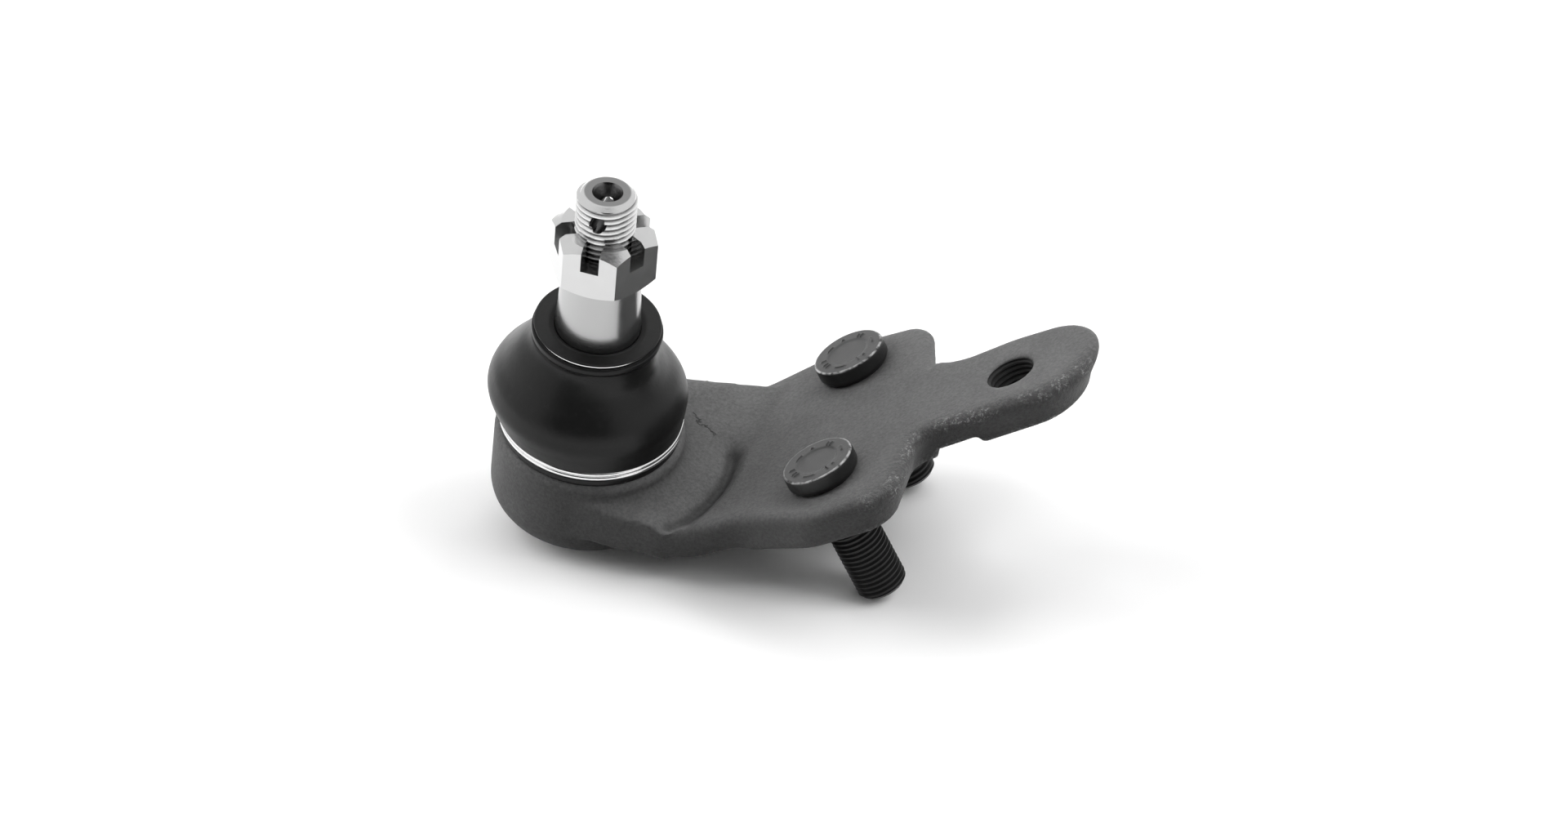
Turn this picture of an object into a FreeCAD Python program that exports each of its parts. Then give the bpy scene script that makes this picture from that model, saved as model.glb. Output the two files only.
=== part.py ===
import FreeCAD, Part
import math
import os
import re
import Sketcher
from FreeCAD import Vector

# Suspension ball joint: a forged housing whose socket holds a ball stud on two seats, with a
# tilted arm plate that carries two pressed-in bolts and a tongue with a tapped hole.
# Millimetres. The joint stands as it lies on a bench, on the dome of its bottom cover and on
# the tips of both bolts. +Z is up and +X runs along the tongue.

SIZES = {
    # where the socket, the stud and the arm plate lie
    "ball_x": ("-47.04", "ball centre from the middle of the whole joint, along the tongue"),
    "ball_y": ("-2.55", "ball centre from the middle of the whole joint, across the tongue"),
    "socket_pitch": ("6.5", "socket axis leans this many degrees towards the tongue"),
    "socket_roll": ("8.57", "socket axis leans this many degrees towards the near bolt"),
    "arm_pitch": ("25.45", "arm plate rises this many degrees away from the socket"),
    "plate_reach": ("58.1", "ball centre to the bolt row, along X"),
    "plate_side": ("3.2", "ball centre to the centre line of the tongue, along Y"),
    "plate_rise": ("7.6", "ball centre to the plate's upper face at the bolt row"),
    "stud_lean": ("2.85", "stud from the socket axis at rest, degrees"),
    "stud_lean_way": ("115", "direction of that lean about the socket axis, degrees"),
    # forged housing
    "housing_radius": ("22.1", "outside of the socket"),
    "housing_round": ("8", "round from the socket wall to its underside"),
    "housing_depth": ("20", "ball centre down to the crimped edge"),
    "shoulder_height": ("4", "ball centre up to the shoulder under the boot"),
    "shoulder_round": ("1.4", "edge of the shoulder"),
    "mouth_height": ("10.4", "ball centre up to the top of the socket"),
    "throat_catch": ("0.6", "throat over the ball, smaller in radius by this much"),
    "mouth_flare": ("2", "mouth that the stud swings in, wider than the throat, radially"),
    "boot_seat_radius": ("17.6", "turned seat of the boot"),
    "bead_step": ("0.6", "bead over the boot's seat, radially"),
    "bead_height": ("1.5", "bead over the boot's seat, axially"),
    "web_radius": ("34.8", "round shelf between the socket and the plate"),
    "shelf_sink": ("0.1", "face round the socket, below the rest of that shelf"),
    "web_depth": ("11.2", "thickness of that shelf below the ball centre"),
    "web_near_angle": ("48", "near end of the shelf about the socket axis, degrees"),
    "web_flare": ("2.9", "spread of the far side of the shelf"),
    "web_far_reach": ("41", "far corner of the shelf from the socket axis, along the tongue"),
    "web_far_half": ("28.5", "far corner of the shelf from the socket axis, across the tongue"),
    "plate_thickness": ("9.6", "arm plate at the bolts and at the tongue's end"),
    "waist_thickness": ("7.2", "tongue between them"),
    "waist_start": ("23", "start of the thinner tongue, from the bolt row"),
    "waist_end": ("33.8", "end of the thinner tongue, from the bolt row"),
    "forge_draft": ("4", "draft of the plate's sides, degrees"),
    "plate_edge_round": ("2", "upper edges of the plate"),
    "plate_under_round": ("1.2", "lower edges of the plate"),
    "near_lobe": ("38.2", "centre line to the near edge at the bolt"),
    "far_lobe": ("35.7", "centre line to the far edge at the bolt"),
    "lobe_end": ("23.3", "bolt row to the end of the lobes"),
    "lobe_round": ("8", "outer corners of the lobes"),
    "neck_half": ("28.9", "half the width between the socket and the lobes"),
    "root_reach": ("42", "bolt row back to the plate's root inside the shelf"),
    "root_half": ("26.4", "half the width of that root"),
    "tongue_half": ("14", "half the width of the tongue"),
    "tongue_shift": ("0.6", "middle of the tongue from the tapped hole, to the far side"),
    "tongue_reach": ("66.4", "bolt row to the end of the tongue"),
    "tongue_hole_reach": ("43.3", "bolt row to the tapped hole"),
    "tongue_hole_radius": ("5.33", "core of the M12 x 1.25 thread"),
    "tongue_hole_chamfer": ("0.7", "chamfer at both ends of the tapped hole"),
    # ball, seats, spring and cover
    "ball_radius": ("12.5", "ball of the stud"),
    "ball_clearance": ("0.08", "ball to either seat"),
    "seat_wall": ("2", "wall of both seats beside the ball"),
    "seat_clearance": ("0.06", "seats to the bore"),
    "upper_seat_height": ("6.2", "ball centre up to the top of the upper seat"),
    "seat_gap": ("0.6", "gap between the two seats"),
    "seat_chamfer": ("1", "outer corner of either seat"),
    "lower_seat_depth": ("14.4", "ball centre down to the foot of the lower seat"),
    "grease_hole_radius": ("2.6", "hole in the foot of the lower seat"),
    "spring_thickness": ("1.2", "conical spring washer"),
    "spring_inner_radius": ("4.6", "hole of the spring washer"),
    "spring_outer_radius": ("12.2", "outside of the spring washer"),
    "spring_clearance": ("0.06", "spring washer to the seat and to the cover"),
    "crimp_clearance": ("0.3", "crimped edge to the cover's dome"),
    "cover_thickness": ("1.8", "pressed bottom cover"),
    "cover_step": ("1.1", "cover's counterbore over the seats' bore, radially"),
    "flange_width": ("2.6", "flat flange round the cover's dome"),
    "cover_clearance": ("0.05", "cover to its counterbore"),
    "cover_depth": ("18.4", "ball centre down to the underside of the flange"),
    "dome_radius": ("25", "sphere of the cover's dome"),
    # stud and nut
    "stud_flat": ("11.4", "ball centre down to the flat under the ball"),
    "neck_radius": ("6.5", "neck of the stud"),
    "neck_top": ("14.5", "ball centre up to the end of the neck"),
    "taper_start": ("25", "ball centre up to the large end of the taper"),
    "taper_end": ("50", "ball centre up to the small end of the taper"),
    "taper_end_radius": ("9.05", "small end of the taper"),
    "taper_rate": ("0.1", "change of the taper's diameter for each mm"),
    "thread_length": ("22.5", "small end of the taper up to the end of the stud"),
    "stud_thread_radius": ("7", "M14 x 1.5 thread"),
    "stud_chamfer": ("1.3", "end of the thread, radially"),
    "stud_chamfer_height": ("0.96", "end of the thread, axially"),
    "cotter_drop": ("4.9", "end of the stud down to the split pin hole"),
    "cotter_radius": ("2", "split pin hole"),
    "cotter_turn": ("-97", "direction of the split pin hole about the stud, degrees"),
    "centre_mouth_radius": ("3.6", "mouth of the centre drilling"),
    "centre_drill_radius": ("1.6", "bottom of the centre drilling"),
    "centre_drill_depth": ("7", "depth of the centre drilling"),
    "nut_flats": ("22", "castle nut across its flats"),
    "nut_height": ("13", "castle nut"),
    "nut_turn": ("-6.6", "corner of the nut about the stud, degrees"),
    "nut_thread_clearance": ("0.02", "nut to the stud's thread"),
    "nut_slot_width": ("4.3", "slots for the split pin"),
    "nut_slot_depth": ("6", "slots for the split pin"),
    "nut_top_radius": ("9.9", "flat circle inside the upper chamfer"),
    "nut_top_chamfer": ("40", "upper chamfer, degrees"),
    "nut_foot_radius": ("10.9", "flat circle inside the lower chamfer"),
    "nut_foot_chamfer": ("30", "lower chamfer, degrees"),
    # boot and its two wire rings
    "boot_wall": ("1.7", "wall of the dust boot"),
    "boot_gap": ("0.1", "boot to what it wraps"),
    "boot_cuff_radius": ("20.9", "foot of the boot, below the lower ring"),
    "boot_lip_radius": ("14.75", "flat lip at the top of the boot"),
    "boot_lip_height": ("34.35", "ball centre up to the face of the lip"),
    "boot_lip_edge": ("0.6", "edge of the lip over its ring"),
    "boot_bead_step": ("0.55", "bead under that ring, wider than the lip, radially"),
    "boot_bead_height": ("1.3", "bead under that ring"),
    "lip_ring_wire": ("0.38", "radius of the upper ring's wire"),
    "clamp_ring_radius": ("20.85", "lower wire ring, to the middle of its wire"),
    "clamp_ring_height": ("6.55", "ball centre up to the lower turn"),
    "clamp_ring_wire": ("0.55", "radius of the lower ring's wire"),
    "clamp_ring_step": ("30", "part of a turn in which its wire steps up, degrees"),
    "clamp_ring_start": ("65", "start of the wire about the socket axis, degrees"),
    "wire_gap": ("0.05", "between the turns, and from wire to rubber"),
    # bolts that are pressed into the plate
    "far_bolt_margin": ("11.75", "far bolt to the plate's far edge"),
    "near_bolt_margin": ("16.4", "near bolt to the plate's near edge"),
    "bolt_reach": ("32.05", "upper face of the plate down to the bolt's tip"),
    "bolt_head_radius": ("8.68", "round head"),
    "bolt_head_height": ("4.7", "round head"),
    "bolt_head_round": ("0.7", "edge of the head"),
    "bolt_dish_radius": ("6", "shallow dish in the head"),
    "bolt_dish_depth": ("0.3", "shallow dish in the head"),
    "bolt_knurl_radius": ("6.2", "knurled part in the plate"),
    "bolt_knurl_clearance": ("0.02", "knurled part to its hole"),
    "bolt_thread_radius": ("6", "M12 x 1.25 thread"),
    "bolt_thread_start": ("10.4", "upper face of the plate down to the thread"),
    "bolt_chamfer": ("1.2", "tip of the bolt"),
}

# The boot at rest is lopsided. Its rings from the cuff to the collar: radius, then the place of
# the middle along and across the tongue, then the height over the ball centre.
BOOT_RINGS = {
    "foot": ("21.5", "-0.4", "0.3", None),
    "swell": ("22.6", "-1.1", "0.8", "11.5"),
    "belly": ("23.1", "-1.6", "1", "15"),
    "shoulder": ("21.7", "-2", "0.9", "18.5"),
    "slope": ("18.9", "-2.4", "0.7", "22"),
    "neck": ("16.4", "-2.5", "0.7", "25.5"),
    "throat": ("15", "-1.6", "1.1", "28.4"),
    "collar": ("14", "-0.9", "1.4", None),
}
for ring, (radius, along, across, height) in BOOT_RINGS.items():
    SIZES[f"boot_{ring}_radius"] = (radius, f"outside of the boot at its {ring}")
    SIZES[f"boot_{ring}_x"] = (along, "middle of that ring, along the tongue")
    SIZES[f"boot_{ring}_y"] = (across, "middle of that ring, across the tongue")
    if height:
        SIZES[f"boot_{ring}_height"] = (height, f"ball centre up to the boot's {ring}")

WORD = re.compile(r"[a-z][a-z0-9_]*")

doc = FreeCAD.newDocument("ball_joint")
sizes = doc.addObject("Spreadsheet::Sheet", "sizes")
for row, (word, (number, note)) in enumerate(SIZES.items(), start=1):
    sizes.set(f"A{row}", word)
    sizes.set(f"B{row}", number)
    sizes.set(f"C{row}", note)
    sizes.setAlias(f"B{row}", word)
doc.recompute()


def cell(text):
    """The expression with each word of the table written as the document reads it."""
    return WORD.sub(lambda word: "sizes." + word[0] if word[0] in SIZES else word[0], text)


def value(text):
    """What an expression in words of the table comes to."""
    return sizes.evalExpression(cell(text))


# The floor touches both bolt tips, which sets the height of the ball.
TIP_RADIUS = "(bolt_thread_radius - bolt_chamfer)"
BALL_Z = f"(bolt_reach * cos(arm_pitch) + {TIP_RADIUS} * sin(arm_pitch) - plate_rise)"
SOCKET = f"placement(vector(ball_x; ball_y; {BALL_Z}); rotation(0; socket_pitch; socket_roll))"
LEAN_AXIS = "vector(0 - sin(stud_lean_way); cos(stud_lean_way); 0)"
STUD = f"{SOCKET} * placement(vector(0; 0; 0); rotation({LEAN_AXIS}; stud_lean))"
NUT = f"{STUD} * placement(vector(0; 0; taper_end); rotation(nut_turn; 0; 0))"
LIP_IN_SOCKET = (
    f"placement(vector(0; 0; 0); rotation({LEAN_AXIS}; stud_lean))"
    f" * placement(vector(0; 0; boot_lip_height); rotation({LEAN_AXIS}; 0 - stud_lean))"
)
ARM = (
    f"placement(vector(ball_x + plate_reach; ball_y + plate_side; {BALL_Z} + plate_rise);"
    " rotation(0; 0 - arm_pitch; 0))"
)
SOCKET_IN_ARM = f"minvert({ARM}) * {SOCKET}"
UPRIGHT = "placement(vector(0; 0; 0); rotation(0; 0; 90))"
DIES_OPEN = "rotation(0; arm_pitch + socket_pitch; socket_roll) * vector(0; 0; -1)"

# The dome of the cover stands on the floor, straight under the centre of its sphere.
DOME_CENTRE = f"((dome_radius - {BALL_Z}) / (cos(socket_pitch) * cos(socket_roll)))"
DOME_HOLLOW = "(dome_radius - cover_thickness)"
FLANGE_TOP = "(cover_thickness - cover_depth)"
TAPER_START_RADIUS = "(taper_end_radius + taper_rate / 2 * (taper_end - taper_start))"
STUD_TOP = "(taper_end + thread_length)"
BALL_SEAT = "(ball_radius + ball_clearance)"
SEAT_RADIUS = f"({BALL_SEAT} + seat_wall)"
SEAT_BORE = f"({SEAT_RADIUS} + seat_clearance)"
THROAT_RADIUS = "(ball_radius - throat_catch)"
COUNTERBORE = f"({SEAT_BORE} + cover_step)"
COVER_RADIUS = f"({COUNTERBORE} - cover_clearance)"
DOME_EDGE = f"({COVER_RADIUS} - flange_width)"
CLAMP_FOOT = "(clamp_ring_height - clamp_ring_wire - wire_gap)"
CLAMP_TOP = "(clamp_ring_height + 3 * clamp_ring_wire + 2 * wire_gap)"
RING_SEAT = "(clamp_ring_radius - clamp_ring_wire - wire_gap)"
BOOT_BORE = "(boot_seat_radius + boot_gap)"
LIP_RING_RADIUS = "(boot_lip_radius - lip_ring_wire)"
LIP_GROOVE = "(boot_lip_edge + 2 * (lip_ring_wire + wire_gap))"
FAR_BOLT = "(far_lobe - far_bolt_margin)"
NEAR_BOLT = "(near_bolt_margin - near_lobe)"
BOLT_HOLE = "bolt_knurl_radius + bolt_knurl_clearance"
LIP_DEPTH = f"({LIP_GROOVE} + boot_bead_height)"


def shifted(x="0", y="0", z="0"):
    return f"placement(vector({x}; {y}; {z}); rotation(0; 0; 0))"


def corner(x, y, fillet=None, arc=None, bulge=1):
    """A corner of an outline. fillet rounds it. arc is the radius of an arc to the next corner,
    which bulges to the right of the way that the outline goes, or to its left for bulge -1."""
    return {"x": x, "y": y, "fillet": fillet, "arc": arc, "bulge": bulge}


def arc_edge(centre, start, end, turns_left):
    """A circular edge from start to end, and the numbers of its two ends in that order."""
    first, second = (start, end) if turns_left else (end, start)
    from_angle = math.atan2(first.y - centre.y, first.x - centre.x)
    to_angle = math.atan2(second.y - centre.y, second.x - centre.x)
    if to_angle < from_angle:
        to_angle += 2 * math.pi
    circle = Part.Circle(centre, Vector(0, 0, 1), centre.distanceToPoint(start))
    return Part.ArcOfCircle(circle, from_angle, to_angle), (1, 2) if turns_left else (2, 1)


def bind(sketch, kind, geometry, text, end=None):
    """A size of a sketch, bound to an expression in words of the table."""
    number = float(value(text))
    if end is None:
        constraint = Sketcher.Constraint(kind, geometry, number)
    else:
        constraint = Sketcher.Constraint(kind, -1, 1, geometry, end, number)
    index = sketch.addConstraint(constraint)
    sketch.setExpression(f"Constraints[{index}]", cell(text))


def draw(sketch, corners):
    """Draws a closed outline, with every corner and radius bound to the table."""
    count = len(corners)
    at = [Vector(float(value(c["x"])), float(value(c["y"])), 0) for c in corners]
    entry, leave, centres = list(at), list(at), {}
    for i, item in enumerate(corners):
        if not item["fillet"]:
            continue
        back = (at[i - 1] - at[i]).normalize()
        ahead = (at[(i + 1) % count] - at[i]).normalize()
        half = back.getAngle(ahead) / 2
        radius = float(value(item["fillet"]))
        entry[i] = at[i] + back * (radius / math.tan(half))
        leave[i] = at[i] + ahead * (radius / math.tan(half))
        centres[i] = at[i] + (back + ahead).normalize() * (radius / math.sin(half))
    edges = []
    for i, item in enumerate(corners):
        start, end = leave[i], entry[(i + 1) % count]
        if item["arc"]:
            chord = end - start
            left = Vector(-chord.y, chord.x, 0).normalize() * item["bulge"]
            radius = float(value(item["arc"]))
            centre = (start + end) * 0.5 + left * math.sqrt(radius**2 - chord.Length**2 / 4)
            edge, ends = arc_edge(centre, start, end, item["bulge"] > 0)
        else:
            edge, ends = Part.LineSegment(start, end), (1, 2)
        edges.append((sketch.addGeometry(edge, False), ends))
    for i, item in enumerate(corners):
        edge, ends = edges[i]
        before, before_ends = edges[i - 1]
        if item["fillet"]:
            turn = (at[i] - at[i - 1]).cross(at[(i + 1) % count] - at[i]).z
            arc, arc_ends = arc_edge(centres[i], entry[i], leave[i], turn > 0)
            arc = sketch.addGeometry(arc, False)
            meets = Sketcher.Constraint("Tangent", before, before_ends[1], arc, arc_ends[0])
            sketch.addConstraint(meets)
            sketch.addConstraint(Sketcher.Constraint("Tangent", arc, arc_ends[1], edge, ends[0]))
            bind(sketch, "Radius", arc, item["fillet"])
            mark = sketch.addGeometry(Part.Point(at[i]), True)
            sketch.addConstraint(Sketcher.Constraint("PointOnObject", mark, 1, before))
            sketch.addConstraint(Sketcher.Constraint("PointOnObject", mark, 1, edge))
            held, end = mark, 1
        else:
            joins = Sketcher.Constraint("Coincident", before, before_ends[1], edge, ends[0])
            sketch.addConstraint(joins)
            held, end = edge, ends[0]
        bind(sketch, "DistanceX", held, item["x"], end)
        bind(sketch, "DistanceY", held, item["y"], end)
        if item["arc"]:
            bind(sketch, "Radius", edge, item["arc"])


def draw_circle(sketch, radius, x="0", y="0"):
    centre = Vector(float(value(x)), float(value(y)), 0)
    circle = Part.Circle(centre, Vector(0, 0, 1), float(value(radius)))
    index = sketch.addGeometry(circle, False)
    bind(sketch, "Radius", index, radius)
    bind(sketch, "DistanceX", index, x, 3)
    bind(sketch, "DistanceY", index, y, 3)


def new_body(label, pose):
    body = doc.addObject("PartDesign::Body", label)
    body.Label = label
    body.setExpression("Placement", cell(pose))
    return body


def new_sketch(body, name, where):
    """A sketch in its own body, on the XY plane moved by an expression."""
    sketch = body.newObject("Sketcher::SketchObject", f"{body.Name}_{name}")
    plane = next(item for item in body.Origin.OriginFeatures if item.Role == "XY_Plane")
    sketch.AttachmentSupport = (plane, "")
    sketch.MapMode = "FlatFace"
    sketch.setExpression("AttachmentOffset", cell(where))
    return sketch


def add_feature(body, kind, name, profile, lengths=None, **settings):
    """A PartDesign feature on a sketch. A cut that removes nothing is an error."""
    doc.recompute()
    before = body.Shape.Volume if body.Tip else 0
    feature = body.newObject(f"PartDesign::{kind}", f"{body.Name}_{name}")
    feature.Profile = profile
    for setting, content in settings.items():
        setattr(feature, setting, content)
    for length, text in (lengths or {}).items():
        feature.setExpression(length, cell(text))
    doc.recompute()
    if kind in ("Pocket", "Groove", "SubtractiveLoft") and body.Shape.Volume > before - 1e-3:
        raise RuntimeError(f"{feature.Name} cuts nothing")
    return feature


def turned(body, name, corners, kind="Revolution", where="", flat=UPRIGHT):
    """A turned form: a half section of radii and heights, carried round the upright axis."""
    sketch = new_sketch(body, name + "_section", f"{where} * {flat}" if where else flat)
    draw(sketch, corners)
    return add_feature(body, kind, name, sketch, ReferenceAxis=(sketch, ["V_Axis"]), Angle=360)


def pressed(body, name, corners, length, where, kind="Pad"):
    """A straight form on an outline. Pads go up from it and pockets down."""
    sketch = new_sketch(body, name + "_outline", where)
    draw(sketch, corners)
    return add_feature(body, kind, name, sketch, {"Length": length})


def bored(body, name, radius, where):
    """A round hole right through, downwards from its sketch."""
    sketch = new_sketch(body, name + "_outline", where)
    draw_circle(sketch, radius)
    return add_feature(body, "Pocket", name, sketch, Type="ThroughAll")


def rounded(body, name, radius, chosen):
    """Rounds the chosen edges of the body as it is so far."""
    base = body.Tip
    names = [f"Edge{i}" for i, edge in enumerate(base.Shape.Edges, start=1) if chosen(edge)]
    if not names:
        raise RuntimeError(f"{name} finds no edge")
    feature = body.newObject("PartDesign::Fillet", f"{body.Name}_{name}")
    feature.Base = (base, names)
    feature.setExpression("Radius", cell(radius))
    doc.recompute()
    return feature


def lofted(body, name, kind, rings):
    """A smooth form through level circles, each given by radius, middle and height."""
    sketches = []
    for i, (radius, along, across, height) in enumerate(rings):
        sketch = new_sketch(body, f"{name}_ring_{i}", shifted(along, across, height))
        draw_circle(sketch, radius)
        sketches.append(sketch)
    return add_feature(body, kind, name, sketches[0], Sections=sketches[1:])


TINY = 1e-3


def lies_at(edge, height):
    """Whether an edge lies in the level plane at a height of its body."""
    return all(abs(vertex.Z - height) < 1e-4 for vertex in edge.Vertexes) and (
        abs(edge.BoundBox.ZMax - height) < 1e-3 and abs(edge.BoundBox.ZMin - height) < 1e-3
    )


def make_housing():
    """Forged arm plate and tongue, the shelf that joins them to the socket, and the socket."""
    body = new_body("forged_housing", ARM)
    near_side = "(tongue_shift - tongue_half)"
    far_side = "(tongue_shift + tongue_half)"
    outline = new_sketch(body, "plate_outline", shifted())
    draw(outline, [
        corner("0 - root_reach", "0 - root_half"),
        corner("0 - root_reach / 2", "0 - neck_half", "lobe_round * 3"),
        corner("0", "0 - near_lobe", "lobe_round * 2"),
        corner("lobe_end - lobe_round / 4", "0 - near_lobe", "lobe_round"),
        corner("lobe_end", f"{near_side} - tongue_half / 10", "lobe_round / 2"),
        corner("tongue_reach", near_side, "tongue_half * 0.98"),
        corner("tongue_reach", far_side, "tongue_half * 0.98"),
        corner("tongue_hole_reach", far_side, "tongue_half * 2"),
        corner("lobe_end + tongue_half / 2", f"{far_side} - tongue_half / 6", "tongue_half"),
        corner("lobe_end", f"{far_side} - tongue_half / 6", "lobe_round / 5"),
        corner("lobe_end - lobe_round / 2", "far_lobe - lobe_round / 6", "lobe_round"),
        corner("0", "far_lobe", "lobe_round * 2"),
        corner("0 - root_reach / 2", "neck_half", "lobe_round * 2"),
        corner("0 - root_reach", "root_half"),
    ])
    # The dies open along the socket, so the plate's sides run that way too.
    plate = add_feature(body, "Pad", "plate", outline, {"Length": "plate_thickness"},
                        UseCustomVector=True, AlongSketchNormal=True, Direction=Vector(0, 0, -1))
    plate.setExpression("Direction", cell(DIES_OPEN))
    plate.setExpression("TaperAngle", cell("0 - forge_draft"))
    doc.recompute()
    root = -float(value("root_reach"))
    foot = -float(value("plate_thickness"))
    rounded(body, "upper_round", "plate_edge_round",
            lambda edge: lies_at(edge, 0) and edge.CenterOfMass.x > root + TINY)
    across = "2 * tongue_half"
    pressed(body, "waist", [
        corner("waist_start", f"0 - {across}"),
        corner("waist_end", f"0 - {across}"),
        corner("waist_end", across),
        corner("waist_start", across),
    ], "plate_thickness - waist_thickness", shifted(z="0 - waist_thickness"), "Pocket")
    root_foot = min(vertex.X for vertex in body.Shape.Vertexes)
    rounded(body, "lower_round", "plate_under_round",
            lambda edge: lies_at(edge, foot) and edge.CenterOfMass.x > root_foot + TINY)
    shelf_foot = f"{SOCKET_IN_ARM} * {shifted(z='0 - web_depth')}"
    pressed(body, "root_trim", [
        corner("0 - web_radius", "0 - 2 * web_radius"),
        corner("web_radius", "0 - 2 * web_radius"),
        corner("web_radius", "2 * web_radius"),
        corner("0 - web_radius", "2 * web_radius"),
    ], "2 * plate_thickness", shelf_foot, "Pocket")
    pressed(body, "shelf", [
        corner("0", "0 - housing_radius"),
        corner("web_radius * cos(web_near_angle)", "0 - web_radius * sin(web_near_angle)",
               arc="web_radius"),
        corner("web_radius", "0"),
        corner("web_far_reach", "web_far_half"),
        corner("web_radius / 3", "housing_radius + web_flare"),
        corner("0", "housing_radius"),
    ], "web_depth", shelf_foot)
    turned(body, "shelf_face", [
        corner("0", "0 - shelf_sink"),
        corner("web_radius + shelf_sink", "0 - shelf_sink"),
        corner("web_radius + shelf_sink", "mouth_height"),
        corner("0", "mouth_height"),
    ], "Groove", SOCKET_IN_ARM)
    bead_foot = "mouth_height - bead_height"
    bead_radius = "boot_seat_radius + bead_step"
    turned(body, "socket", [
        corner("0", "0 - housing_depth"),
        corner("housing_radius", "0 - housing_depth", "housing_round"),
        corner("housing_radius", "shoulder_height", "shoulder_round"),
        corner("boot_seat_radius", "shoulder_height"),
        corner("boot_seat_radius", bead_foot),
        corner(bead_radius, bead_foot),
        corner(bead_radius, "mouth_height", "bead_step"),
        corner("0", "mouth_height"),
    ], where=SOCKET_IN_ARM)
    crimp = f"{DOME_EDGE} + crimp_clearance"
    bore_top = "upper_seat_height + seat_clearance"
    turned(body, "bore", [
        corner("0", "0 - housing_depth"),
        corner(crimp, "0 - housing_depth"),
        corner(crimp, "0 - cover_depth"),
        corner(COUNTERBORE, "0 - cover_depth"),
        corner(COUNTERBORE, FLANGE_TOP),
        corner(SEAT_BORE, FLANGE_TOP),
        corner(SEAT_BORE, f"{bore_top} - seat_chamfer"),
        corner(f"{SEAT_BORE} - seat_chamfer", bore_top),
        corner(THROAT_RADIUS, bore_top),
        corner(f"{THROAT_RADIUS} + mouth_flare", "mouth_height"),
        corner("0", "mouth_height"),
    ], "Groove", SOCKET_IN_ARM)
    bored(body, "far_bolt_hole", BOLT_HOLE, shifted(y=FAR_BOLT))
    bored(body, "near_bolt_hole", BOLT_HOLE, shifted(y=NEAR_BOLT))
    mouth = "tongue_hole_radius + tongue_hole_chamfer"
    turned(body, "tapped_hole", [
        corner("0", "0 - plate_thickness"),
        corner(mouth, "0 - plate_thickness"),
        corner("tongue_hole_radius", "tongue_hole_chamfer - plate_thickness"),
        corner("tongue_hole_radius", "0 - tongue_hole_chamfer"),
        corner(mouth, "0"),
        corner("0", "0"),
    ], "Groove", shifted(x="tongue_hole_reach"))
    return body


def make_bolt(label, side):
    """A round-headed bolt with a dished head, a knurled part in the plate and a thread."""
    body = new_body(label, f"{ARM} * {shifted(y=side)}")
    turned(body, "blank", [
        corner("0", "0 - bolt_reach"),
        corner("bolt_thread_radius - bolt_chamfer", "0 - bolt_reach"),
        corner("bolt_thread_radius", "bolt_chamfer - bolt_reach"),
        corner("bolt_thread_radius", "0 - bolt_thread_start"),
        corner("bolt_knurl_radius", "bolt_knurl_radius - bolt_thread_radius - bolt_thread_start"),
        corner("bolt_knurl_radius", "0"),
        corner("bolt_head_radius", "0"),
        corner("bolt_head_radius", "bolt_head_height", "bolt_head_round"),
        corner("bolt_dish_radius", "bolt_head_height"),
        corner("bolt_dish_radius - bolt_dish_depth", "bolt_head_height - bolt_dish_depth"),
        corner("0", "bolt_head_height - bolt_dish_depth"),
    ])
    return body


def make_stud():
    """Ball with a flat under it, neck, taper and thread, turned from one bar."""
    body = new_body("ball_stud", STUD)
    turned(body, "blank", [
        corner("0", "0 - stud_flat"),
        corner("sqrt(ball_radius^2 - stud_flat^2)", "0 - stud_flat", arc="ball_radius"),
        corner("neck_radius", "sqrt(ball_radius^2 - neck_radius^2)"),
        corner("neck_radius", "neck_top"),
        corner(TAPER_START_RADIUS, "taper_start"),
        corner("taper_end_radius", "taper_end"),
        corner("stud_thread_radius", "taper_end"),
        corner("stud_thread_radius", f"{STUD_TOP} - stud_chamfer_height"),
        corner("stud_thread_radius - stud_chamfer", STUD_TOP),
        corner("0", STUD_TOP),
    ])
    turned(body, "centre_drilling", [
        corner("0", f"{STUD_TOP} - centre_drill_depth"),
        corner("centre_drill_radius", f"{STUD_TOP} - centre_drill_depth"),
        corner("centre_drill_radius",
               f"{STUD_TOP} - (centre_mouth_radius - centre_drill_radius) * tan(60)"),
        corner("centre_mouth_radius", STUD_TOP),
        corner("0", STUD_TOP),
    ], "Groove")
    beside = f"placement(vector(0; 0; {STUD_TOP} - cotter_drop); rotation(cotter_turn; 90; 0))"
    bored(body, "cotter_hole", "cotter_radius",
          f"{beside} * {shifted(z='2 * stud_thread_radius')}")
    return body


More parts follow.
